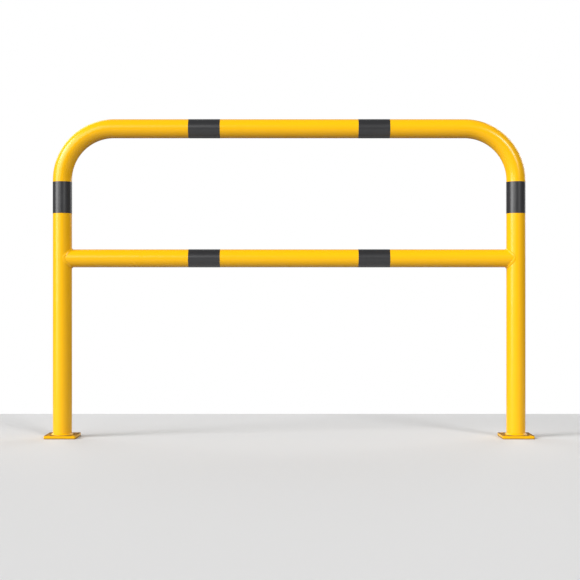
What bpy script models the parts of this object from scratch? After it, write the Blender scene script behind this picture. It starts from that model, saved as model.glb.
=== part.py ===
"""Industrial guard rail: a bent tube hoop with one cross rail, two base plates and six film bands.

Metres, Z up. The origin is on the ground, midway between the two posts. X runs along the rail and Y
through its depth. The hoop is one tube that is bent twice, so both posts and the top rail are one piece.
"""

import math

import bmesh
import bpy
from mathutils import Matrix, Vector

# Hoop
POST_SPACING = 1.440
HOOP_HEIGHT = 1.010
HOOP_DIAMETER = 0.060
HOOP_WALL = 0.0025
BEND_RADIUS = 0.163

# Cross rail
RAIL_DIAMETER = 0.057
RAIL_WALL = 0.0025
RAIL_DROP = 0.4115

# Base plates
PLATE_LENGTH = 0.100
PLATE_DEPTH = 0.100
PLATE_THICKNESS = 0.010
PLATE_CORNER_RADIUS = 0.004
PLATE_EDGE_BREAK = 0.001
ANCHOR_HOLE_DIAMETER = 0.012
ANCHOR_HOLE_EDGE_DISTANCE = 0.012

# Film bands
BAND_WIDTH = 0.100
BAND_FILM = 0.0004
BAND_SPACING = 0.538
BAND_BELOW_BEND = 0.006

# Welds
FOOT_WELD_LEG = 0.005
RAIL_WELD_LEG = 0.004
WELD_CROWN = 0.0006

# Gap between touching pieces, and how far a cutter passes the faces it cuts
CLEARANCE = 0.0003
CUTTER_OVERRUN = 0.005

# Fineness of round shapes
ROUND_STEPS = 32
BEND_STEPS = 10
HOLE_STEPS = 24
CORNER_STEPS = 3
SMOOTH_ANGLE = math.radians(35)
TURN_STEP = math.radians(0.5)
ROUND_PROFILE = 0.5

# Fits that follow from the sizes above
HOOP_RADIUS = HOOP_DIAMETER / 2
RAIL_RADIUS = RAIL_DIAMETER / 2
POST_AXIS = POST_SPACING / 2
POST_FOOT = PLATE_THICKNESS + CLEARANCE
TOP_AXIS_HEIGHT = HOOP_HEIGHT - HOOP_RADIUS
RAIL_AXIS_HEIGHT = TOP_AXIS_HEIGHT - RAIL_DROP
BEND_START_HEIGHT = TOP_AXIS_HEIGHT - BEND_RADIUS
POST_BAND_HEIGHT = BEND_START_HEIGHT - BAND_BELOW_BEND - BAND_WIDTH / 2

SIDES = {"left": -1, "right": 1}
ALONG_X = (0, math.pi / 2, 0)
HALF_TURN = (0, 0, math.pi)

# Linear base colours and how rough each finish is
POWDER_COAT_YELLOW = (0.95, 0.46, 0.005, 1.0)
POWDER_COAT_ROUGHNESS = 0.30
FILM_CHARCOAL = (0.030, 0.030, 0.033, 1.0)
FILM_ROUGHNESS = 0.38


def clear_scene():
    """Remove whatever the scene holds."""
    for leftover in list(bpy.data.objects):
        bpy.data.objects.remove(leftover, do_unlink=True)


def make_material(name, colour, roughness):
    """One plain Principled material, not metallic."""
    material = bpy.data.materials.new(name)
    material.use_nodes = True
    shader = material.node_tree.nodes["Principled BSDF"]
    shader.inputs["Base Color"].default_value = colour
    shader.inputs["Roughness"].default_value = roughness
    shader.inputs["Metallic"].default_value = 0
    material.diffuse_color = colour
    return material


def finish_mesh(bm, name, material=None):
    """Turn an edited mesh into mesh data with outward faces and smooth round surfaces."""
    bmesh.ops.recalc_face_normals(bm, faces=bm.faces[:])
    mesh = bpy.data.meshes.new(name)
    bm.to_mesh(mesh)
    bm.free()
    mesh.shade_smooth()
    mesh.set_sharp_from_angle(angle=SMOOTH_ANGLE)
    if material:
        mesh.materials.append(material)
    return mesh


def place(name, mesh, frame, location=(0, 0, 0), rotation=(0, 0, 0)):
    """Put a piece in the scene under its own name."""
    piece = bpy.data.objects.new(name, mesh)
    piece.location = location
    piece.rotation_euler = rotation
    piece.parent = frame
    bpy.context.scene.collection.objects.link(piece)
    return piece


def place_cutter(name, mesh, frame, location, rotation=(0, 0, 0)):
    """Put a cutting shape in the scene, drawn as a wire and never rendered."""
    cutter = place(name, mesh, frame, location, rotation)
    cutter.hide_render = True
    cutter.display_type = "WIRE"
    return cutter


def cut(piece, cutter):
    """Take a cutting shape out of a piece."""
    step = piece.modifiers.new(cutter.name, "BOOLEAN")
    step.operation = "DIFFERENCE"
    step.solver = "EXACT"
    step.object = cutter


def faces_of(geometry):
    """The faces among an operator's results."""
    return [item for item in geometry if isinstance(item, bmesh.types.BMFace)]


def verts_of(geometry):
    """The corners among an operator's results."""
    return [item for item in geometry if isinstance(item, bmesh.types.BMVert)]


def start_tube(bm, outer_radius, inner_radius, location):
    """Flat ring across Z, from which a tube is drawn out."""
    rims = set()
    for radius in (outer_radius, inner_radius):
        circle = bmesh.ops.create_circle(
            bm, segments=ROUND_STEPS, radius=radius, matrix=Matrix.Translation(location)
        )
        for vert in circle["verts"]:
            rims.update(vert.link_edges)
    return bmesh.ops.bridge_loops(bm, edges=list(rims))["faces"]


def draw_out(bm, end, travel):
    """Carry the tube's end face along a straight run."""
    grown = bmesh.ops.extrude_face_region(bm, geom=end)["geom"]
    bmesh.ops.translate(bm, verts=verts_of(grown), vec=travel)
    bmesh.ops.delete(bm, geom=end, context="FACES_ONLY")
    return faces_of(grown)


def bend_round(bm, end, centre):
    """Carry the tube's end face a quarter turn about the Y axis through centre."""
    turned = bmesh.ops.spin(
        bm,
        geom=end,
        cent=centre,
        axis=(0, 1, 0),
        angle=math.pi / 2,
        steps=BEND_STEPS,
        use_duplicate=False,
    )["geom_last"]
    bmesh.ops.delete(bm, geom=end, context="FACES_ONLY")
    return faces_of(turned)


def close_start(bm):
    """Close the ring at which the tube began."""
    rims = [edge for edge in bm.edges if edge.is_boundary]
    bmesh.ops.bridge_loops(bm, edges=rims)


def straight_tube(name, outer_radius, inner_radius, length, material):
    """Open tube along Z, centred on its own middle."""
    bm = bmesh.new()
    end = start_tube(bm, outer_radius, inner_radius, (0, 0, -length / 2))
    draw_out(bm, end, (0, 0, length))
    close_start(bm)
    return finish_mesh(bm, name, material)


def solid_bar(name, radius, length, steps, centres=((0, 0),)):
    """Solid round bars along Z, one at each centre, as a cutting shape."""
    bm = bmesh.new()
    for x, y in centres:
        bmesh.ops.create_cone(
            bm,
            cap_ends=True,
            segments=steps,
            radius1=radius,
            radius2=radius,
            depth=length,
            matrix=Matrix.Translation((x, y, 0)),
        )
    return finish_mesh(bm, name)


def build_hoop(frame, coat):
    """Posts and top rail as one tube: up, round, across, round and down."""
    post_run = BEND_START_HEIGHT - POST_FOOT
    top_run = POST_SPACING - 2 * BEND_RADIUS
    bend_axis = POST_AXIS - BEND_RADIUS
    bm = bmesh.new()
    end = start_tube(bm, HOOP_RADIUS, HOOP_RADIUS - HOOP_WALL, (-POST_AXIS, 0, POST_FOOT))
    end = draw_out(bm, end, (0, 0, post_run))
    end = bend_round(bm, end, (-bend_axis, 0, BEND_START_HEIGHT))
    end = draw_out(bm, end, (top_run, 0, 0))
    end = bend_round(bm, end, (bend_axis, 0, BEND_START_HEIGHT))
    draw_out(bm, end, (0, 0, -post_run))
    close_start(bm)
    return place("hoop_tube", finish_mesh(bm, "hoop_tube", coat), frame)


def build_cross_rail(frame, coat):
    """Straight tube between the posts, saddle-cut at both ends to fit round them."""
    tube = straight_tube("cross_rail", RAIL_RADIUS, RAIL_RADIUS - RAIL_WALL, POST_SPACING, coat)
    rail = place("cross_rail", tube, frame, (0, 0, RAIL_AXIS_HEIGHT), ALONG_X)
    saddle = solid_bar(
        "saddle_cutter", HOOP_RADIUS + CLEARANCE, RAIL_DIAMETER + 2 * CUTTER_OVERRUN, ROUND_STEPS
    )
    for side, sign in SIDES.items():
        spot = (sign * POST_AXIS, 0, RAIL_AXIS_HEIGHT)
        cut(rail, place_cutter(f"saddle_cutter_{side}", saddle, frame, spot))
    return rail


def plate_mesh(coat):
    """Flat plate with rounded corners and broken edges, centred on its own middle."""
    bm = bmesh.new()
    size = Matrix.Diagonal((PLATE_LENGTH, PLATE_DEPTH, PLATE_THICKNESS, 1))
    bmesh.ops.create_cube(bm, size=1, matrix=size)
    upright = [edge for edge in bm.edges if abs(edge.verts[0].co.z - edge.verts[1].co.z) > CLEARANCE]
    bmesh.ops.bevel(
        bm,
        geom=upright,
        offset=PLATE_CORNER_RADIUS,
        segments=CORNER_STEPS,
        profile=ROUND_PROFILE,
        affect="EDGES",
    )
    flat_faces = [face for face in bm.faces if abs(face.normal.z) > math.cos(SMOOTH_ANGLE)]
    outline = {edge for face in flat_faces for edge in face.edges}
    bmesh.ops.bevel(bm, geom=list(outline), offset=PLATE_EDGE_BREAK, segments=1, affect="EDGES")
    return finish_mesh(bm, "base_plate", coat)


def build_base_plates(frame, coat):
    """Plate under each post, with an anchor hole at each corner."""
    plate = plate_mesh(coat)
    hole_x = PLATE_LENGTH / 2 - ANCHOR_HOLE_EDGE_DISTANCE
    hole_y = PLATE_DEPTH / 2 - ANCHOR_HOLE_EDGE_DISTANCE
    corners = [(x, y) for x in (-hole_x, hole_x) for y in (-hole_y, hole_y)]
    drill = solid_bar(
        "anchor_hole_cutter",
        ANCHOR_HOLE_DIAMETER / 2,
        PLATE_THICKNESS + 2 * CUTTER_OVERRUN,
        HOLE_STEPS,
        corners,
    )
    for side, sign in SIDES.items():
        spot = (sign * POST_AXIS, 0, PLATE_THICKNESS / 2)
        piece = place(f"base_plate_{side}", plate, frame, spot)
        cut(piece, place_cutter(f"anchor_hole_cutter_{side}", drill, frame, spot))


def weld_section(root, toe_a, toe_b):
    """Four corners of a fillet: root, first toe, crown and second toe."""
    middle = (toe_a + toe_b) / 2
    outward = (middle - root).normalized()
    return [root, toe_a, middle + outward * WELD_CROWN, toe_b]


def ring_of_sections(name, sections, material):
    """Closed bead through a ring of equal sections."""
    bm = bmesh.new()
    rows = [[bm.verts.new(corner) for corner in section] for section in sections]
    for row, following in zip(rows, rows[1:] + rows[:1]):
        for index in range(len(row)):
            after = (index + 1) % len(row)
            bm.faces.new((row[index], row[after], following[after], following[index]))
    return finish_mesh(bm, name, material)


def foot_weld_mesh(coat):
    """Fillet round the foot of a post, standing on its plate."""
    inner = HOOP_RADIUS + CLEARANCE
    sections = []
    for step in range(ROUND_STEPS):
        turn = 2 * math.pi * step / ROUND_STEPS
        outward = Vector((math.cos(turn), math.sin(turn), 0))
        root = outward * inner
        sections.append(
            weld_section(root, root + outward * FOOT_WELD_LEG, root + Vector((0, 0, FOOT_WELD_LEG)))
        )
    return ring_of_sections("foot_weld", sections, coat)


def saddle_point(turn):
    """Point of the joint between rail and post, clear of both, seen from the post's axis.

    The rail runs along +X from the post, and turn goes round the rail from +Y towards +Z.
    """
    reach = RAIL_RADIUS + CLEARANCE
    across = reach * math.cos(turn)
    along = math.sqrt(max((HOOP_RADIUS + CLEARANCE) ** 2 - across ** 2, 0))
    return Vector((along, across, reach * math.sin(turn)))


def rail_weld_mesh(coat):
    """Fillet that follows the saddle curve round the end of the cross rail."""
    sections = []
    for step in range(ROUND_STEPS):
        turn = 2 * math.pi * step / ROUND_STEPS
        root = saddle_point(turn)
        run = (saddle_point(turn + TURN_STEP) - saddle_point(turn - TURN_STEP)).normalized()
        from_rail = Vector((0, root.y, root.z)).normalized()
        from_post = Vector((root.x, root.y, 0)).normalized()
        on_rail = run.cross(from_rail).normalized()
        on_post = run.cross(from_post).normalized()
        if on_rail.x < 0:
            on_rail = -on_rail
        if on_post.dot(from_rail) - on_post.x < 0:
            on_post = -on_post
        sections.append(
            weld_section(root, root + on_rail * RAIL_WELD_LEG, root + on_post * RAIL_WELD_LEG)
        )
    return ring_of_sections("rail_weld", sections, coat)


def build_welds(frame, coat):
    """Fillet at each foot and at each end of the cross rail."""
    foot_bead = foot_weld_mesh(coat)
    rail_bead = rail_weld_mesh(coat)
    for side, sign in SIDES.items():
        foot_spot = (sign * POST_AXIS, 0, POST_FOOT)
        rail_spot = (sign * POST_AXIS, 0, RAIL_AXIS_HEIGHT)
        facing_in = HALF_TURN if sign > 0 else (0, 0, 0)
        place(f"foot_weld_{side}", foot_bead, frame, foot_spot)
        place(f"rail_weld_{side}", rail_bead, frame, rail_spot, facing_in)


def band_mesh(name, tube_radius, film):
    """Film sleeve that lies on a tube of the given radius."""
    inner = tube_radius + CLEARANCE
    return straight_tube(name, inner + BAND_FILM, inner, BAND_WIDTH, film)


def build_bands(frame, film):
    """Two bands on the top rail, two on the cross rail and one on each post."""
    hoop_band = band_mesh("hoop_band", HOOP_RADIUS, film)
    rail_band = band_mesh("rail_band", RAIL_RADIUS, film)
    for side, sign in SIDES.items():
        middle = sign * BAND_SPACING / 2
        place(f"top_band_{side}", hoop_band, frame, (middle, 0, TOP_AXIS_HEIGHT), ALONG_X)
        place(f"rail_band_{side}", rail_band, frame, (middle, 0, RAIL_AXIS_HEIGHT), ALONG_X)
        place(f"post_band_{side}", hoop_band, frame, (sign * POST_AXIS, 0, POST_BAND_HEIGHT))


def main():
    """Build every piece of the guard rail."""
    clear_scene()
    coat = make_material("powder_coat_yellow", POWDER_COAT_YELLOW, POWDER_COAT_ROUGHNESS)
    film = make_material("film_charcoal", FILM_CHARCOAL, FILM_ROUGHNESS)
    frame = bpy.data.objects.new("guard_rail_frame", None)
    bpy.context.scene.collection.objects.link(frame)
    build_hoop(frame, coat)
    build_cross_rail(frame, coat)
    build_base_plates(frame, coat)
    build_welds(frame, coat)
    build_bands(frame, film)


main()
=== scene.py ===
import math

import bmesh
import bpy
from bpy.props import FloatProperty, FloatVectorProperty, IntProperty, PointerProperty
from mathutils import Matrix, Vector


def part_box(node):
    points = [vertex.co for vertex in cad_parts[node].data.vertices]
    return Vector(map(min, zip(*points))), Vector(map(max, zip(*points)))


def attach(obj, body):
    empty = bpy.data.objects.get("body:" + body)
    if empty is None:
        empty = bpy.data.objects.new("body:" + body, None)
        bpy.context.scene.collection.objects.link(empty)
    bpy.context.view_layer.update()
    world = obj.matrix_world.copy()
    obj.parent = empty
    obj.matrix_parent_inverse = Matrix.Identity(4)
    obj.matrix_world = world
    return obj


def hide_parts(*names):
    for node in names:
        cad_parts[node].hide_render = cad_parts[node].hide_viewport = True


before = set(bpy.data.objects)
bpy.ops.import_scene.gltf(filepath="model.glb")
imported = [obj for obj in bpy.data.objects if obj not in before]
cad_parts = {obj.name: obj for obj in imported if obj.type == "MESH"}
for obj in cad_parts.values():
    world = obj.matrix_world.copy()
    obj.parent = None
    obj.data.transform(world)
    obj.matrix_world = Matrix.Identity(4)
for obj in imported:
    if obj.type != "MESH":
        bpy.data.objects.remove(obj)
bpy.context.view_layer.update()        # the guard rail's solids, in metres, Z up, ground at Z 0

bl_info = {
    "name": "Industrial Guard Rail",
    "version": (1, 0, 0),
    "blender": (4, 5, 0),
    "location": "3D View > Sidebar > Guard Rail",
    "description": "Powder-coated tube hoop with cross rail, welded feet and dark film bands",
    "category": "Add Mesh",
}

MM = 0.001
BODY = "root"
SIDES = {"left": -1, "right": 1}

# Measures of the solids that the finer pieces take over
HOOP_LOW, HOOP_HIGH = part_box("hoop_tube")
RAIL_LOW, RAIL_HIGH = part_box("cross_rail")
PLATE_LOW, PLATE_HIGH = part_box("base_plate_right")
FOOT_WELD_LOW, FOOT_WELD_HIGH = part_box("foot_weld_right")
TOP_BAND_LOW, TOP_BAND_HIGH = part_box("top_band_right")
POST_BAND_LOW, POST_BAND_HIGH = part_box("post_band_right")

HOOP_RADIUS = (HOOP_HIGH.y - HOOP_LOW.y) / 2
POST_AXIS = HOOP_HIGH.x - HOOP_RADIUS
TOP_AXIS_HEIGHT = HOOP_HIGH.z - HOOP_RADIUS
RAIL_RADIUS = (RAIL_HIGH.y - RAIL_LOW.y) / 2
RAIL_AXIS_HEIGHT = (RAIL_HIGH.z + RAIL_LOW.z) / 2
BAND_MIDDLE = (TOP_BAND_HIGH.x + TOP_BAND_LOW.x) / 2
BAND_WIDTH = TOP_BAND_HIGH.x - TOP_BAND_LOW.x
POST_BAND_HEIGHT = (POST_BAND_HIGH.z + POST_BAND_LOW.z) / 2
FOOT_WELD_LEG = FOOT_WELD_HIGH.z - FOOT_WELD_LOW.z

# Fineness and fits of the finer pieces
MERGE_DISTANCE = 0.001 * MM
SADDLE_MARGIN = 6 * MM                      # from a post to where the cross rail runs straight
SADDLE_GAP = 0.05 * MM                      # between the rail's saddle and the post
CORNER_STEPS = 8
EDGE_STEPS = 3
HOLE_STEPS = 64
ROUNDED_EDGE_ANGLE = math.radians(40)       # a plate's edges that are sharper than this are rounded
CRISP_EDGE_ANGLE = math.radians(35)         # a tube's or film's edges that are sharper stay crisp
TURN_STEP = math.radians(0.5)               # for reading which way a weld runs
BEAD_STATIONS = 512
BEAD_STEPS = 8
BEAD_SINK = 0.3 * MM                        # how far a bead reaches behind its root
BEAD_GRAIN = 12 * MM                        # width of a bead's slow swells
BEAD_UNEVENNESS = 0.5 * MM
RIPPLE_BOW = 0.45                           # how far a ripple trails at the toes, in ripples
FILM_GRIP = 0.03 * MM                       # between the film and its tube
LAP_CLIMB_ANGLE = math.radians(7)
LAP_LIFT = 1.15                             # how high the lap lies, in thicknesses of the film
LAP_TURN = math.radians(80)

# Finishes: sizes of their patterns, and how they take the light
PEEL_SIZE = 5 * MM
PEEL_DEPTH = 0.08 * MM
COAT_DRIFT_SIZE = 140 * MM
COAT_DEEPENING = 0.955
COAT_ROUGHNESS = (0.20, 0.26)
COAT_IOR = 1.5
COAT_SPECULAR = 0.38
# Painted shade on the base plates: their tops are browned, and a painted shadow browns the foot of their
# edges, in patches
TOP_SHADE_START, TOP_SHADE_FULL = 0.5 * MM, 0.1 * MM        # under a plate's top
FOOT_SHADOW_END, FOOT_SHADOW_FULL = 9 * MM, 4 * MM            # over the floor
FOOT_SHADOW_SWAY = 6 * MM
SHADE_PATCH_SIZE = 22 * MM
SHADE_PATCH_EDGES = (0.35, 0.6)
SHADE_COVER = (0.7, 1.0)
SHADED_ROUGHNESS = 0.8
PLATE_SPECULAR = 0.12
FILM_GRAIN_SIZE = 2.5 * MM
FILM_GRAIN_DEPTH = 0.04 * MM
FILM_CLOUD_SIZE = 35 * MM
FILM_PALENESS = 1.22
FILM_ROUGHNESS = (0.28, 0.34)
FILM_IOR = 1.53
FILM_SPECULAR = 0.64
FLOOR_ROUGHNESS = 0.9

# Sockets of Blender's Mix node, which carry the same names for each kind of data
VALUE_FIRST, VALUE_SECOND, VALUE_RESULT = 2, 3, 0
COLOUR_FIRST, COLOUR_SECOND, COLOUR_RESULT = 6, 7, 2

# Stage. Each softbox has its name, its degrees left of the lens, up and wide, and its strength
SENSOR_WIDTH = 36.0
PICTURE_PIXELS = 580
FLOOR_SIDE = 6.0
FLOOR_FRONT = 6.0
DEEP_FLOOR = 0.30                           # how much of its paleness the floor throws back as light
FAR_SOFTBOXES = (
    ("key_left_box", 58, 17, 40, 0.67),
    ("front_left_box", 26, 21, 36, 0.31),
    ("high_left_box", 66, 31, 22, 0.37),
    ("front_right_box", -33, 23, 18, 0.40),
    ("back_left_box", 142, 34, 40, 0.23),
    ("back_right_box", -140, 22, 40, 0.26),
)
BACKDROP_EDGE = 0.97                        # how far back a ray points that meets its soft edge
BACKDROP_FULL = 0.99                        # and one that meets only the backdrop
ROOM_BRIGHTNESS = 0.22                      # in reflections
WHITE = 1.0


def linear(hex_code):
    """Turn an sRGB hex colour into linear red, green and blue."""
    channels = [int(hex_code[start:start + 2], 16) / 255 for start in (0, 2, 4)]
    return tuple(c / 12.92 if c <= 0.04045 else ((c + 0.055) / 1.055) ** 2.4 for c in channels)


class GuardRailSizes(bpy.types.PropertyGroup):
    """Sizes of the finer pieces, which fit the solids of the frame."""

    tube_wall: FloatProperty(
        name="Tube Wall", description="Wall of the hoop and the cross rail",
        default=2.5 * MM, min=0.5 * MM, unit="LENGTH",
    )
    bend_radius: FloatProperty(
        name="Bend Radius", description="Radius of the upper corners, to the tube's centre line",
        default=0.163, min=0.05, unit="LENGTH",
    )
    round_steps: IntProperty(
        name="Round Steps", description="Sides round each tube", default=96, min=12,
    )
    bend_steps: IntProperty(
        name="Bend Steps", description="Steps along each bent corner", default=48, min=4,
    )
    rail_weld_leg: FloatProperty(
        name="Rail Weld Leg", description="Width of the weld on each side of the saddle joint",
        default=4 * MM, min=1 * MM, unit="LENGTH",
    )
    weld_crown: FloatProperty(
        name="Weld Crown", description="How far a weld bulges over a straight fillet",
        default=0.15 * MM, min=0, unit="LENGTH",
    )
    ripple_spacing: FloatProperty(
        name="Ripple Spacing", description="Distance between two ripples of a weld",
        default=2.4 * MM, min=0.5 * MM, unit="LENGTH",
    )
    ripple_height: FloatProperty(
        name="Ripple Height", description="Height of a weld's ripples",
        default=0.16 * MM, min=0, unit="LENGTH",
    )
    plate_corner: FloatProperty(
        name="Plate Corner", description="Radius of a base plate's upright corners",
        default=4 * MM, min=0.5 * MM, unit="LENGTH",
    )
    plate_edge: FloatProperty(
        name="Plate Edge", description="Rounding of a base plate's coated edges",
        default=0.8 * MM, min=0.1 * MM, unit="LENGTH",
    )
    hole_diameter: FloatProperty(
        name="Hole Diameter", description="Diameter of the anchor holes",
        default=12 * MM, min=4 * MM, unit="LENGTH",
    )
    hole_edge_distance: FloatProperty(
        name="Hole Edge Distance", description="From the middle of an anchor hole to the plate's edges",
        default=12 * MM, min=6 * MM, unit="LENGTH",
    )
    film_thickness: FloatProperty(
        name="Film Thickness", description="Thickness of the dark adhesive film",
        default=0.2 * MM, min=0.05 * MM, unit="LENGTH",
    )
    film_overlap: FloatProperty(
        name="Film Overlap", description="How far a film's end runs over its start",
        default=14 * MM, min=0, unit="LENGTH",
    )


class GuardRailColours(bpy.types.PropertyGroup):
    """Colours of the finishes and of the stage."""

    coat: FloatVectorProperty(
        name="Powder Coat", description="Yellow polyester powder coat on the steel",
        default=linear("FCBC06"), size=3, min=0, max=1, subtype="COLOR",
    )
    film: FloatVectorProperty(
        name="Film", description="Charcoal adhesive film of the bands",
        default=linear("222224"), size=3, min=0, max=1, subtype="COLOR",
    )
    # Brown of the painted shade on the plates' tops and of the painted shadow at the foot of their edges
    plate_shade: FloatVectorProperty(
        name="Painted Plate Shade", description="Floor dirt on the base plates",
        default=linear("8C6A34"), size=3, min=0, max=1, subtype="COLOR",
    )
    floor: FloatVectorProperty(
        name="Floor", description="Plain pale floor",
        default=linear("E6E6E6"), size=3, min=0, max=1, subtype="COLOR",
    )


class GuardRailStudio(bpy.types.PropertyGroup):
    """Camera and light of the picture."""

    camera_distance: FloatProperty(
        name="Camera Distance", description="From the lens to the plane of the rail",
        default=3.70, min=1, unit="LENGTH",
    )
    camera_height: FloatProperty(
        name="Camera Height", description="Height of the lens over the ground",
        default=0.468, unit="LENGTH",
    )
    camera_offset: FloatProperty(
        name="Camera Offset", description="How far the lens stands to the right of the rail's middle",
        default=0.0027, unit="LENGTH",
    )
    pixel_size: FloatProperty(
        name="Pixel Size", description="Length at the rail that one pixel of the picture covers",
        default=3.176 * MM, unit="LENGTH",
    )
    floor_behind: FloatProperty(
        name="Floor Behind", description="How far the floor runs on behind the rail",
        default=0.70, unit="LENGTH",
    )
    sky_strength: FloatProperty(
        name="Sky Strength", description="Even light from all round", default=0.04, min=0,
    )


def feed(tree, node, inputs):
    """Give a node's inputs values or other nodes' outputs."""
    for socket, value in inputs.items():
        if isinstance(value, bpy.types.NodeSocket):
            tree.links.new(value, node.inputs[socket])
        else:
            node.inputs[socket].default_value = value


def add_node(tree, kind, inputs=None, **settings):
    """Add a node, set its options and feed its inputs."""
    node = tree.nodes.new(kind)
    for name, value in settings.items():
        setattr(node, name, value)
    feed(tree, node, inputs or {})
    return node


def reckon(tree, operation, *values):
    """Result of one step of arithmetic."""
    return add_node(tree, "ShaderNodeMath", dict(enumerate(values)), operation=operation).outputs[0]


def either(tree, first, second):
    """The greater of two values."""
    return reckon(tree, "MAXIMUM", first, second)


def mapped(tree, value, span=(0.0, 1.0), onto=(0.0, 1.0), **settings):
    """Carry a value from one span over to another, whose ends it doesn't pass."""
    return add_node(tree, "ShaderNodeMapRange", {
        "Value": value, "From Min": span[0], "From Max": span[1], "To Min": onto[0], "To Max": onto[1],
    }, **settings).outputs["Result"]


def blend_values(tree, share, first, second):
    """Pass from the first value to the second as the share rises from 0 to 1."""
    return add_node(tree, "ShaderNodeMix", {
        "Factor": share, VALUE_FIRST: first, VALUE_SECOND: second,
    }, data_type="FLOAT").outputs[VALUE_RESULT]


def blend_colours(tree, share, first, second):
    """Pass from the first colour to the second as the share rises from 0 to 1."""
    return add_node(tree, "ShaderNodeMix", {
        "Factor": share, COLOUR_FIRST: first, COLOUR_SECOND: second,
    }, data_type="RGBA").outputs[COLOUR_RESULT]


def noise(tree, place, size, detail, roughness):
    """Noise between 0 and 1 whose forms are about this size."""
    return add_node(tree, "ShaderNodeTexNoise", {
        "Vector": place, "Scale": 1 / size, "Detail": detail, "Roughness": roughness,
    }).outputs["Fac"]


def relief(tree, height, depth, strength):
    """Bumps of this depth on a surface."""
    return add_node(tree, "ShaderNodeBump", {
        "Height": height, "Distance": depth, "Strength": strength,
    }).outputs["Normal"]


def plain(colour, brightness=1.0):
    """Colour for a node's socket, with its channels brightened or dimmed."""
    return (*(channel * brightness for channel in colour), 1)


def new_material(name):
    """Empty material with its output and one Principled shader."""
    material = bpy.data.materials.new(name)
    material.use_nodes = True
    tree = material.node_tree
    tree.nodes.clear()
    shader = add_node(tree, "ShaderNodeBsdfPrincipled")
    add_node(tree, "ShaderNodeOutputMaterial", {"Surface": shader.outputs["BSDF"]})
    return material, tree, shader


def sprayed_powder(tree, place, colour):
    """Tone, gloss and relief of powder that was sprayed on and baked."""
    # Real peel has bumps about 2 mm apart: drawn coarser, so that it shows in the render.
    peel = noise(tree, place, PEEL_SIZE, detail=2.0, roughness=0.4)
    drift = noise(tree, place, COAT_DRIFT_SIZE, detail=3.0, roughness=0.5)
    tone = blend_colours(tree, drift, plain(colour), plain(colour, COAT_DEEPENING))
    gloss = mapped(tree, drift, onto=COAT_ROUGHNESS)
    return tone, gloss, relief(tree, peel, PEEL_DEPTH, strength=0.5)


def powder_coat(colour):
    """Polyester powder coat, sprayed and baked on steel: an even satin gloss over a faint orange peel.

    The peel breaks up the edge of each highlight, and a slow drift in tone keeps long runs from looking flat.
    """
    material, tree, shader = new_material("polyester_powder_coat")
    place = add_node(tree, "ShaderNodeTexCoord").outputs["Object"]
    tone, gloss, bumps = sprayed_powder(tree, place, colour)
    feed(tree, shader, {
        "Base Color": tone, "Roughness": gloss, "Normal": bumps,
        "IOR": COAT_IOR, "Specular IOR Level": COAT_SPECULAR,
    })
    return material


def shaded_plate_coat(colour, plate_shade, top):
    """The powder coat of the base plates, which lie underfoot.

    Painted shade browns and dulls their tops, and a painted shadow browns and dulls the foot of their edges,
    in patches; the rest stays yellow.
    """
    material, tree, shader = new_material("plate_coat_with_painted_shade")
    place = add_node(tree, "ShaderNodeTexCoord").outputs["Object"]
    tone, gloss, bumps = sprayed_powder(tree, place, colour)
    height = add_node(tree, "ShaderNodeSeparateXYZ", {0: place}).outputs["Z"]
    # Painted shade: the plate's top and the foot of its edges are browned and dulled, in patches
    patches = noise(tree, place, SHADE_PATCH_SIZE, detail=4.0, roughness=0.6)
    shaded_top = mapped(tree, height, (top - TOP_SHADE_START, top - TOP_SHADE_FULL))
    shadow_line = reckon(tree, "MULTIPLY_ADD", patches, FOOT_SHADOW_SWAY, height)
    shadowed_foot = mapped(tree, shadow_line, (FOOT_SHADOW_END, FOOT_SHADOW_FULL))
    shade_patchiness = mapped(tree, patches, SHADE_PATCH_EDGES, SHADE_COVER)
    painted_shade_cover = reckon(tree, "MULTIPLY", either(tree, shaded_top, shadowed_foot), shade_patchiness)
    feed(tree, shader, {
        "Base Color": blend_colours(tree, painted_shade_cover, tone, plain(plate_shade)),
        "Roughness": blend_values(tree, painted_shade_cover, gloss, SHADED_ROUGHNESS), "Normal": bumps,
        "IOR": COAT_IOR, "Specular IOR Level": PLATE_SPECULAR,
    })
    return material


def vinyl_film(colour):
    """Calendered vinyl film: charcoal with a soft sheen and a fine roller grain."""
    material, tree, shader = new_material("calendered_vinyl_film")
    place = add_node(tree, "ShaderNodeTexCoord").outputs["Object"]
    # Real roller grain is finer than half a millimetre: drawn coarser, so that it shows in the render.
    grain = noise(tree, place, FILM_GRAIN_SIZE, detail=3.0, roughness=0.6)
    cloud = noise(tree, place, FILM_CLOUD_SIZE, detail=2.0, roughness=0.5)
    feed(tree, shader, {
        "Base Color": blend_colours(tree, cloud, plain(colour), plain(colour, FILM_PALENESS)),
        "Roughness": mapped(tree, cloud, onto=FILM_ROUGHNESS),
        "Normal": relief(tree, grain, FILM_GRAIN_DEPTH, strength=0.4),
        "IOR": FILM_IOR, "Specular IOR Level": FILM_SPECULAR,
    })
    return material


def floor_finish(colour):
    """Plain matt floor, pale to the eye, which throws only a little light up under the rails."""
    material, tree, shader = new_material("matt_floor")
    rays = add_node(tree, "ShaderNodeLightPath").outputs
    mirrored = either(tree, rays["Is Glossy Ray"], rays["Is Transmission Ray"])
    seen = either(tree, rays["Is Camera Ray"], mirrored)
    feed(tree, shader, {
        "Base Color": blend_colours(tree, seen, plain(colour, DEEP_FLOOR), plain(colour)),
        "Roughness": FLOOR_ROUGHNESS,
    })
    return material


def shared(name, make, *values):
    """The material of that name, made the first time that a piece asks for it."""
    return bpy.data.materials.get(name) or make(*values)


def coat_material(scene):
    """Powder coat in the colour that the panel shows."""
    return shared("polyester_powder_coat", powder_coat, tuple(scene.guard_rail_colours.coat))


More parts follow.
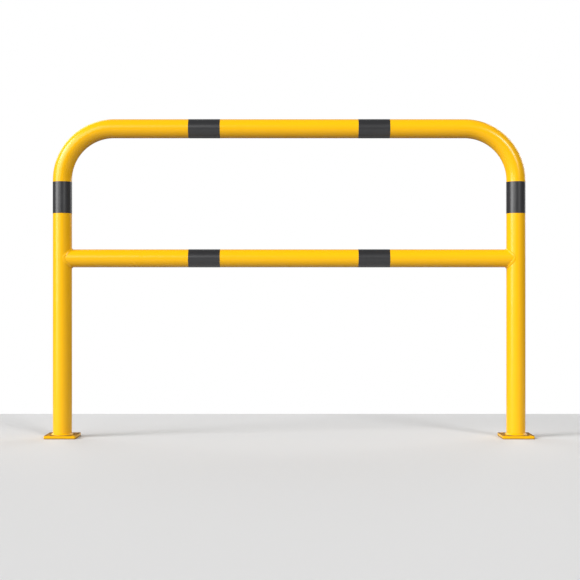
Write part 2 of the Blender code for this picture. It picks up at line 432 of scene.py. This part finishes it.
def plate_material(scene, top):
    """Powder coat with painted shade, in the colours that the panel shows."""
    colours = scene.guard_rail_colours
    return shared("plate_coat_with_painted_shade", shaded_plate_coat, tuple(colours.coat), tuple(colours.plate_shade), top)


def film_material(scene):
    """Dark film in the colour that the panel shows."""
    return shared("calendered_vinyl_film", vinyl_film, tuple(scene.guard_rail_colours.film))


def new_tree(name, sockets):
    """Geometry node tree with a geometry going in and out, and the named inputs between."""
    tree = bpy.data.node_groups.new(name, "GeometryNodeTree")
    tree.interface.new_socket("Geometry", in_out="INPUT", socket_type="NodeSocketGeometry")
    for label, kind in sockets.items():
        tree.interface.new_socket(label, in_out="INPUT", socket_type=f"NodeSocket{kind}")
    tree.interface.new_socket("Geometry", in_out="OUTPUT", socket_type="NodeSocketGeometry")
    return tree, add_node(tree, "NodeGroupInput").outputs


def end_tree(tree, geometry, material):
    """Close a tree with real geometry in its material."""
    real = add_node(tree, "GeometryNodeRealizeInstances", {"Geometry": geometry})
    coated = add_node(tree, "GeometryNodeSetMaterial", {
        "Geometry": real.outputs["Geometry"], "Material": material,
    })
    add_node(tree, "NodeGroupOutput", {"Geometry": coated.outputs["Geometry"]})
    return tree


def stored(tree, name, kind="FLOAT"):
    """What the base mesh says about each of its points under this name."""
    return add_node(tree, "GeometryNodeInputNamedAttribute", {"Name": name}, data_type=kind).outputs[0]


def pushed(tree, geometry, way, far):
    """Push each point so far along its own way."""
    offset = add_node(tree, "ShaderNodeVectorMath", {0: way, "Scale": far}, operation="SCALE").outputs[0]
    moved = add_node(tree, "GeometryNodeSetPosition", {"Geometry": geometry, "Offset": offset})
    return moved.outputs["Geometry"]


def bent_tube_tree():
    """Skin of a round tube along a path whose corners are bent to a radius."""
    tree, given = new_tree("bent_tube", {
        "Bend Radius": "Float", "Bend Steps": "Int", "Tube Radius": "Float", "Round Steps": "Int",
        "Material": "Material",
    })
    path = add_node(tree, "GeometryNodeMeshToCurve", {"Mesh": given["Geometry"]})
    bent = add_node(tree, "GeometryNodeFilletCurve", {
        "Curve": path.outputs["Curve"], "Count": given["Bend Steps"], "Radius": given["Bend Radius"],
    }, mode="POLY")
    section = add_node(tree, "GeometryNodeCurvePrimitiveCircle", {
        "Resolution": given["Round Steps"], "Radius": given["Tube Radius"],
    })
    skin = add_node(tree, "GeometryNodeCurveToMesh", {
        "Curve": bent.outputs["Curve"], "Profile Curve": section.outputs["Curve"],
    })
    return end_tree(tree, skin.outputs["Mesh"], given["Material"])


def film_wrap_tree():
    """Strip of film wound once round a tube along Z, with its end lying over its start."""
    tree, given = new_tree("film_wrap", {
        "Inner Radius": "Float", "Film Thickness": "Float", "Band Width": "Float", "Overlap": "Float",
        "Round Steps": "Int", "Material": "Material",
    })
    middle = reckon(tree, "MULTIPLY_ADD", given["Film Thickness"], 0.5, given["Inner Radius"])
    lap = reckon(tree, "DIVIDE", given["Overlap"], middle)
    sweep = reckon(tree, "ADD", lap, math.tau)
    turn = add_node(tree, "GeometryNodeCurveArc", {
        "Resolution": given["Round Steps"], "Radius": middle, "Start Angle": 0.0, "Sweep Angle": sweep,
    }).outputs["Curve"]
    place = add_node(tree, "GeometryNodeInputPosition").outputs[0]
    outward = add_node(tree, "ShaderNodeVectorMath", {0: place}, operation="NORMALIZE").outputs[0]
    along = add_node(tree, "GeometryNodeSplineParameter").outputs["Factor"]
    angle = reckon(tree, "MULTIPLY", along, sweep)
    climb = mapped(tree, angle, (math.tau - LAP_CLIMB_ANGLE, math.tau), interpolation_type="SMOOTHSTEP")
    rise = reckon(tree, "MULTIPLY", climb, given["Film Thickness"])
    lift = reckon(tree, "MULTIPLY", rise, LAP_LIFT)
    section = add_node(tree, "GeometryNodeCurvePrimitiveQuadrilateral", {
        "Width": given["Film Thickness"], "Height": given["Band Width"],
    })
    strip = add_node(tree, "GeometryNodeCurveToMesh", {
        "Curve": pushed(tree, turn, outward, lift), "Profile Curve": section.outputs["Curve"],
        "Fill Caps": True,
    })
    return end_tree(tree, strip.outputs["Mesh"], given["Material"])


def weld_ripple_tree():
    """Bowed ripples along a weld bead, whose base mesh says how far round, across and out each point is."""
    tree, given = new_tree("weld_ripples", {
        "Ripple Count": "Float", "Ripple Height": "Float", "Bow": "Float", "Unevenness": "Float",
        "Grain": "Float", "Material": "Material",
    })
    around, across, fullness = (stored(tree, name) for name in ("around", "across", "fullness"))
    outward = stored(tree, "outward", "FLOAT_VECTOR")
    bowed = reckon(tree, "MULTIPLY", across, across)
    lag = reckon(tree, "MULTIPLY", bowed, given["Bow"])
    phase = reckon(tree, "MULTIPLY_ADD", around, given["Ripple Count"], lag)
    saw = reckon(tree, "FRACT", phase)
    swing = reckon(tree, "MULTIPLY_ADD", saw, 2.0, -1.0)
    dip = reckon(tree, "MULTIPLY", swing, swing)
    scale = reckon(tree, "SUBTRACT", 1.0, dip)
    ripple = reckon(tree, "MULTIPLY", scale, given["Ripple Height"])
    swell = add_node(tree, "ShaderNodeTexNoise", {"Scale": given["Grain"], "Detail": 1.0}).outputs["Fac"]
    drift = reckon(tree, "SUBTRACT", swell, 0.5)
    height = reckon(tree, "MULTIPLY_ADD", drift, given["Unevenness"], ripple)
    full = reckon(tree, "MULTIPLY", height, fullness)
    return end_tree(tree, pushed(tree, given["Geometry"], outward, full), given["Material"])


def drilled_plate_tree():
    """Plate with a round hole drilled through near each corner."""
    tree, given = new_tree("drilled_plate", {
        "Hole Diameter": "Float", "Hole Pitch X": "Float", "Hole Pitch Y": "Float", "Drill Length": "Float",
        "Hole Steps": "Int", "Material": "Material",
    })
    corners = add_node(tree, "GeometryNodeMeshGrid", {
        "Size X": given["Hole Pitch X"], "Size Y": given["Hole Pitch Y"], "Vertices X": 2, "Vertices Y": 2,
    }).outputs["Mesh"]
    radius = reckon(tree, "MULTIPLY", given["Hole Diameter"], 0.5)
    drill = add_node(tree, "GeometryNodeMeshCylinder", {
        "Vertices": given["Hole Steps"], "Radius": radius, "Depth": given["Drill Length"],
    }).outputs["Mesh"]
    drills = add_node(tree, "GeometryNodeInstanceOnPoints", {"Points": corners, "Instance": drill})
    cutters = add_node(tree, "GeometryNodeRealizeInstances", {"Geometry": drills.outputs["Instances"]})
    drilled = add_node(tree, "GeometryNodeMeshBoolean", {
        "Mesh 1": given["Geometry"], "Mesh 2": cutters.outputs["Geometry"],
    }, operation="DIFFERENCE")
    return end_tree(tree, drilled.outputs["Mesh"], given["Material"])


def tree_named(name, make):
    """The node tree of that name, built the first time that a piece asks for it."""
    return bpy.data.node_groups.get(name) or make()


def placed(name, data):
    """Object in the scene that holds this mesh, lamp or lens."""
    thing = bpy.data.objects.new(name, data)
    bpy.context.scene.collection.objects.link(thing)
    return thing


def plain_mesh(carrier):
    """What an object's modifiers make of its mesh. The object itself goes."""
    mesh = bpy.data.meshes.new_from_object(carrier.evaluated_get(bpy.context.evaluated_depsgraph_get()))
    bpy.data.objects.remove(carrier)
    return mesh


def run_tree(mesh, tree, values):
    """Feed a mesh through a node tree and return the plain mesh that comes out."""
    carrier = placed(tree.name, mesh)
    modifier = carrier.modifiers.new(tree.name, "NODES")
    modifier.node_group = tree
    for item in tree.interface.items_tree:
        if item.in_out == "INPUT" and item.name in values:
            modifier[item.identifier] = values[item.name]
    result = plain_mesh(carrier)
    if not result.polygons:
        raise RuntimeError(f"node tree {tree.name} made no faces")
    return result


def mesh_of(name, bm):
    """Plain mesh from an edited one."""
    mesh = bpy.data.meshes.new(name)
    bm.to_mesh(mesh)
    bm.free()
    return mesh


def face_outwards(mesh):
    """Merge doubled corners and point every face out."""
    bm = bmesh.new()
    bm.from_mesh(mesh)
    bmesh.ops.remove_doubles(bm, verts=bm.verts[:], dist=MERGE_DISTANCE)
    bmesh.ops.recalc_face_normals(bm, faces=bm.faces[:])
    bm.to_mesh(mesh)
    bm.free()


def join_rings(bm, rings):
    """Join each ring to the next and the last one to the first, with the faces pointing out."""
    for ring, following in zip(rings, rings[1:] + rings[:1]):
        for step in range(len(ring)):
            after = (step + 1) % len(ring)
            bm.faces.new((ring[step], ring[after], following[after], following[step]))
    bmesh.ops.recalc_face_normals(bm, faces=bm.faces[:])


def add_piece(name, mesh, material, node):
    """Show a finished mesh in place of the solid that it stands for."""
    piece = placed(name, mesh)
    if not mesh.materials:
        mesh.materials.append(material)
    mesh.shade_smooth()
    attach(piece, BODY)
    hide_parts(node)
    return piece


def with_wall(skin, thickness):
    """Plain mesh of an open skin with its wall, which grows inwards."""
    carrier = placed("walled", skin)
    wall = carrier.modifiers.new("tube_wall", "SOLIDIFY")
    wall.thickness = thickness
    wall.offset = -1
    wall.use_even_offset = True
    return plain_mesh(carrier)


class GUARDRAIL_OT_hoop(bpy.types.Operator):
    """Bend the hoop from one tube: post, corner, top rail, corner, post"""

    bl_idname = "guard_rail.hoop"
    bl_label = "Build Hoop"

    def execute(self, context):
        """Sweep the tube along its path and give it its wall."""
        sizes = context.scene.guard_rail_sizes
        coat = coat_material(context.scene)
        corners = [(-POST_AXIS, HOOP_LOW.z), (-POST_AXIS, TOP_AXIS_HEIGHT),
                   (POST_AXIS, TOP_AXIS_HEIGHT), (POST_AXIS, HOOP_LOW.z)]
        path = bpy.data.meshes.new("hoop_path")
        path.from_pydata([(x, 0, z) for x, z in corners], [(0, 1), (1, 2), (2, 3)], [])
        skin = run_tree(path, tree_named("bent_tube", bent_tube_tree), {
            "Bend Radius": sizes.bend_radius, "Bend Steps": sizes.bend_steps,
            "Tube Radius": HOOP_RADIUS, "Round Steps": sizes.round_steps, "Material": coat,
        })
        face_outwards(skin)
        tube = with_wall(skin, sizes.tube_wall)
        add_piece("hoop", tube, coat, "hoop_tube")
        tube.set_sharp_from_angle(angle=CRISP_EDGE_ANGLE)
        return {"FINISHED"}


def saddle_reach(across):
    """How far from a post's axis its surface lies at this distance from the rail's middle plane."""
    return math.sqrt(max(HOOP_RADIUS ** 2 - across ** 2, 0))


class GUARDRAIL_OT_cross_rail(bpy.types.Operator):
    """Cut the cross rail to length, with a saddle at both ends that fits round the posts"""

    bl_idname = "guard_rail.cross_rail"
    bl_label = "Build Cross Rail"

    def execute(self, context):
        """Lay rings from saddle to saddle, outside and back inside."""
        sizes = context.scene.guard_rail_sizes
        straight = POST_AXIS - HOOP_RADIUS - SADDLE_MARGIN
        stops = ((-1, True), (-1, False), (1, False), (1, True))
        bm = bmesh.new()
        rings = []
        for radius, order in ((RAIL_RADIUS, 1), (RAIL_RADIUS - sizes.tube_wall, -1)):
            for sign, at_saddle in stops[::order]:
                ring = []
                for step in range(sizes.round_steps):
                    turn = math.tau * step / sizes.round_steps
                    y, z = radius * math.cos(turn), radius * math.sin(turn)
                    reach = POST_AXIS - saddle_reach(y) - SADDLE_GAP if at_saddle else straight
                    ring.append(bm.verts.new((sign * reach, y, RAIL_AXIS_HEIGHT + z)))
                rings.append(ring)
        join_rings(bm, rings)
        tube = mesh_of("cross_rail_skin", bm)
        add_piece("crossbar", tube, coat_material(context.scene), "cross_rail")
        tube.set_sharp_from_angle(angle=CRISP_EDGE_ANGLE)
        return {"FINISHED"}


class GUARDRAIL_OT_plates(bpy.types.Operator):
    """Cut both base plates, round their corners and drill their anchor holes"""

    bl_idname = "guard_rail.plates"
    bl_label = "Build Base Plates"

    def execute(self, context):
        """Cut each plate, drill it by nodes, set it under its post and round its edges."""
        sizes = context.scene.guard_rail_sizes
        length, depth, thickness = PLATE_HIGH - PLATE_LOW
        coat = plate_material(context.scene, thickness)
        for side, sign in SIDES.items():
            bm = bmesh.new()
            bmesh.ops.create_cube(bm, size=1, matrix=Matrix.Diagonal((length, depth, thickness, 1)))
            upright = [e for e in bm.edges if abs(e.verts[0].co.z - e.verts[1].co.z) > thickness / 2]
            bmesh.ops.bevel(bm, geom=upright, offset=sizes.plate_corner, segments=CORNER_STEPS,
                            profile=0.5, affect="EDGES")
            plate = run_tree(mesh_of("plate_blank", bm), tree_named("drilled_plate", drilled_plate_tree), {
                "Hole Diameter": sizes.hole_diameter,
                "Hole Pitch X": length - 2 * sizes.hole_edge_distance,
                "Hole Pitch Y": depth - 2 * sizes.hole_edge_distance,
                "Drill Length": 2 * thickness, "Hole Steps": HOLE_STEPS, "Material": coat,
            })
            face_outwards(plate)
            plate.transform(Matrix.Translation((sign * POST_AXIS, 0, thickness / 2)))
            piece = add_piece(f"foot_plate_{side}", plate, coat, f"base_plate_{side}")
            rounding = piece.modifiers.new("coated_edges", "BEVEL")
            rounding.width = sizes.plate_edge
            rounding.segments = EDGE_STEPS
            rounding.limit_method = "ANGLE"
            rounding.angle_limit = ROUNDED_EDGE_ANGLE
            rounding.harden_normals = True
        return {"FINISHED"}


def saddle_root(turn):
    """Where rail and post meet, seen from the post's axis, with turn from +Y towards +Z round the rail."""
    across = RAIL_RADIUS * math.cos(turn)
    return Vector((saddle_reach(across), across, RAIL_RADIUS * math.sin(turn)))


def saddle_station(turn, leg):
    """Root, toe on the rail and toe on the post of the saddle weld at one turn round the rail."""
    root = saddle_root(turn)
    run = (saddle_root(turn + TURN_STEP) - saddle_root(turn - TURN_STEP)).normalized()
    from_rail = Vector((0, root.y, root.z)).normalized()
    from_post = Vector((root.x, root.y, 0)).normalized()
    on_rail = run.cross(from_rail).normalized()
    on_post = run.cross(from_post).normalized()
    if on_rail.x < 0:
        on_rail = -on_rail
    if on_post.dot(from_rail) - on_post.x < 0:
        on_post = -on_post
    return root, root + on_rail * leg, root + on_post * leg


def foot_station(turn, leg):
    """Root, toe on the plate and toe on the post of the foot weld at one turn round the post."""
    outward = Vector((math.cos(turn), math.sin(turn), 0))
    root = outward * HOOP_RADIUS
    return root, root + outward * leg, root + Vector((0, 0, leg))


def bead_blank(name, stations, crown):
    """Smooth bead through a ring of stations, with the measures that its ripples follow."""
    bm = bmesh.new()
    around = bm.verts.layers.float.new("around")
    across = bm.verts.layers.float.new("across")
    fullness = bm.verts.layers.float.new("fullness")
    outward = bm.verts.layers.float_vector.new("outward")
    rows = []
    for index, (root, toe, far_toe) in enumerate(stations):
        out = ((toe + far_toe) / 2 - root).normalized()
        row = []
        for step in range(BEAD_STEPS + 1):
            share = step / BEAD_STEPS
            full = 4 * share * (1 - share)
            vert = bm.verts.new(toe.lerp(far_toe, share) + out * crown * full)
            vert[across], vert[fullness] = 2 * share - 1, full
            row.append(vert)
        row.append(bm.verts.new(root - out * BEAD_SINK))
        for vert in row:
            vert[around], vert[outward] = index / len(stations), out
        rows.append(row)
    join_rings(bm, rows)
    return mesh_of(name, bm)


def bead_length(stations):
    """Length of a closed bead along its roots."""
    roots = [station[0] for station in stations]
    return sum((b - a).length for a, b in zip(roots, roots[1:] + roots[:1]))


class GUARDRAIL_OT_welds(bpy.types.Operator):
    """Run a rippled fillet weld round each foot and round each end of the cross rail"""

    bl_idname = "guard_rail.welds"
    bl_label = "Build Welds"

    def execute(self, context):
        """Lay the smooth beads, ripple them by nodes and set them in their joints."""
        sizes = context.scene.guard_rail_sizes
        coat = coat_material(context.scene)
        turns = [math.tau * step / BEAD_STATIONS for step in range(BEAD_STATIONS)]
        kinds = (
            ("foot_bead", "foot_weld", foot_station, FOOT_WELD_LEG, PLATE_HIGH.z),
            ("rail_bead", "rail_weld", saddle_station, sizes.rail_weld_leg, RAIL_AXIS_HEIGHT),
        )
        for piece_name, node, station, leg, height in kinds:
            stations = [station(turn, leg) for turn in turns]
            count = round(bead_length(stations) / sizes.ripple_spacing)
            for side, sign in SIDES.items():
                blank = bead_blank(piece_name, stations, sizes.weld_crown)
                bead = run_tree(blank, tree_named("weld_ripples", weld_ripple_tree), {
                    "Ripple Count": float(count), "Ripple Height": sizes.ripple_height,
                    "Bow": RIPPLE_BOW, "Unevenness": BEAD_UNEVENNESS, "Grain": 1 / BEAD_GRAIN,
                    "Material": coat,
                })
                facing_in = Matrix.Rotation(math.pi if sign > 0 else 0, 4, "Z")
                bead.transform(Matrix.Translation((sign * POST_AXIS, 0, height)) @ facing_in)
                add_piece(f"{piece_name}_{side}", bead, coat, f"{node}_{side}")
        return {"FINISHED"}


class GUARDRAIL_OT_bands(bpy.types.Operator):
    """Wrap the six dark film bands round the top rail, the cross rail and the posts"""

    bl_idname = "guard_rail.bands"
    bl_label = "Wrap Film Bands"

    def execute(self, context):
        """Wind each strip by nodes, with its lap at the back, and slide it to its place."""
        sizes = context.scene.guard_rail_sizes
        film = film_material(context.scene)
        along_x = Matrix.Rotation(math.pi / 2, 4, "Y")
        lap_at_back = Matrix.Rotation(LAP_TURN, 4, "Z")
        for side, sign in SIDES.items():
            places = {
                f"top_band_{side}": (HOOP_RADIUS, (sign * BAND_MIDDLE, 0, TOP_AXIS_HEIGHT), along_x),
                f"rail_band_{side}": (RAIL_RADIUS, (sign * BAND_MIDDLE, 0, RAIL_AXIS_HEIGHT), along_x),
                f"post_band_{side}": (HOOP_RADIUS, (sign * POST_AXIS, 0, POST_BAND_HEIGHT), Matrix()),
            }
            for node, (radius, spot, turned) in places.items():
                strip = run_tree(bpy.data.meshes.new("film"), tree_named("film_wrap", film_wrap_tree), {
                    "Inner Radius": radius + FILM_GRIP, "Film Thickness": sizes.film_thickness,
                    "Band Width": BAND_WIDTH, "Overlap": sizes.film_overlap,
                    "Round Steps": sizes.round_steps, "Material": film,
                })
                face_outwards(strip)
                strip.transform(Matrix.Translation(spot) @ turned @ lap_at_back)
                add_piece(node.replace("band", "film"), strip, film, node)
                strip.set_sharp_from_angle(angle=CRISP_EDGE_ANGLE)
        return {"FINISHED"}


def add_far_softbox(name, left, up, width, strength):
    """Soft lamp far off, so many degrees left of the lens, up from the floor and wide."""
    lamp = bpy.data.lights.new(name, "SUN")
    lamp.energy = strength * math.pi
    lamp.angle = math.radians(width)
    turn, lift = math.radians(left), math.radians(up)
    way = Vector((-math.sin(turn) * math.cos(lift), -math.cos(turn) * math.cos(lift), math.sin(lift)))
    placed(name, lamp).rotation_euler = way.to_track_quat("Z", "Y").to_euler()


def light_room(strength):
    """White backdrop for the lens and for reflections, a dim room before the rail and a faint sky."""
    world = bpy.data.worlds.new("studio_room")
    world.use_nodes = True
    tree = world.node_tree
    tree.nodes.clear()
    rays = add_node(tree, "ShaderNodeLightPath").outputs
    way = add_node(tree, "ShaderNodeTexCoord").outputs["Generated"]
    to_back = add_node(tree, "ShaderNodeSeparateXYZ", {0: way}).outputs["Y"]
    shown = mapped(tree, to_back, (BACKDROP_EDGE, BACKDROP_FULL), (ROOM_BRIGHTNESS, WHITE),
                   interpolation_type="SMOOTHSTEP")
    mirrored = blend_values(tree, rays["Is Glossy Ray"], strength, shown)
    seen = either(tree, rays["Is Camera Ray"], rays["Is Transmission Ray"])
    bright = blend_values(tree, seen, mirrored, WHITE)
    light = add_node(tree, "ShaderNodeBackground", {"Color": (1, 1, 1, 1), "Strength": bright})
    add_node(tree, "ShaderNodeOutputWorld", {"Surface": light.outputs[0]})
    bpy.context.scene.world = world


class GUARDRAIL_OT_stage(bpy.types.Operator):
    """Set the floor, the soft studio light and the camera"""

    bl_idname = "guard_rail.stage"
    bl_label = "Set Stage"

    def execute(self, context):
        """Lay the floor and place the lamps and the lens."""
        studio = context.scene.guard_rail_studio
        floor_mesh = bpy.data.meshes.new("floor")
        floor_mesh.from_pydata(
            [(-FLOOR_SIDE, -FLOOR_FRONT, 0), (FLOOR_SIDE, -FLOOR_FRONT, 0),
             (FLOOR_SIDE, studio.floor_behind, 0), (-FLOOR_SIDE, studio.floor_behind, 0)],
            [], [(0, 1, 2, 3)],
        )
        floor_mesh.materials.append(floor_finish(tuple(context.scene.guard_rail_colours.floor)))
        floor = placed("floor", floor_mesh)
        light_room(studio.sky_strength)
        for softbox in FAR_SOFTBOXES:
            add_far_softbox(*softbox)
        lens = bpy.data.cameras.new("picture_lens")
        lens.sensor_width = SENSOR_WIDTH
        lens.lens = studio.camera_distance / studio.pixel_size / PICTURE_PIXELS * SENSOR_WIDTH
        camera = placed("picture_camera", lens)
        camera.location = (studio.camera_offset, -studio.camera_distance, studio.camera_height)
        camera.rotation_euler = (math.pi / 2, 0, 0)
        context.scene.camera = camera
        context.scene.view_settings.view_transform = "Standard"
        return {"FINISHED"}


class GUARDRAIL_PT_panel(bpy.types.Panel):
    """Sizes, colours and building steps of the guard rail"""

    bl_idname = "GUARDRAIL_PT_panel"
    bl_label = "Industrial Guard Rail"
    bl_space_type = "VIEW_3D"
    bl_region_type = "UI"
    bl_category = "Guard Rail"

    def draw(self, context):
        """List every value and every step."""
        for group in (context.scene.guard_rail_sizes, context.scene.guard_rail_colours,
                      context.scene.guard_rail_studio):
            box = self.layout.box()
            for name in group.bl_rna.properties.keys():
                if name not in ("rna_type", "name"):
                    box.prop(group, name)
        for operator in OPERATORS:
            self.layout.operator(operator.bl_idname)


OPERATORS = (
    GUARDRAIL_OT_hoop, GUARDRAIL_OT_cross_rail, GUARDRAIL_OT_plates, GUARDRAIL_OT_welds,
    GUARDRAIL_OT_bands, GUARDRAIL_OT_stage,
)
GROUPS = {
    "guard_rail_sizes": GuardRailSizes,
    "guard_rail_colours": GuardRailColours,
    "guard_rail_studio": GuardRailStudio,
}


def register():
    """Make the groups, the steps and the panel known."""
    for name, group in GROUPS.items():
        bpy.utils.register_class(group)
        setattr(bpy.types.Scene, name, PointerProperty(type=group))
    for kind in (*OPERATORS, GUARDRAIL_PT_panel):
        bpy.utils.register_class(kind)


def unregister():
    """Take them back out."""
    for kind in (GUARDRAIL_PT_panel, *reversed(OPERATORS)):
        bpy.utils.unregister_class(kind)
    for name, group in GROUPS.items():
        delattr(bpy.types.Scene, name)
        bpy.utils.unregister_class(group)


def main():
    """Build the guard rail and its stage."""
    register()
    for step in ("hoop", "cross_rail", "plates", "welds", "bands", "stage"):
        getattr(bpy.ops.guard_rail, step)()


if __name__ == "__main__":
    main()
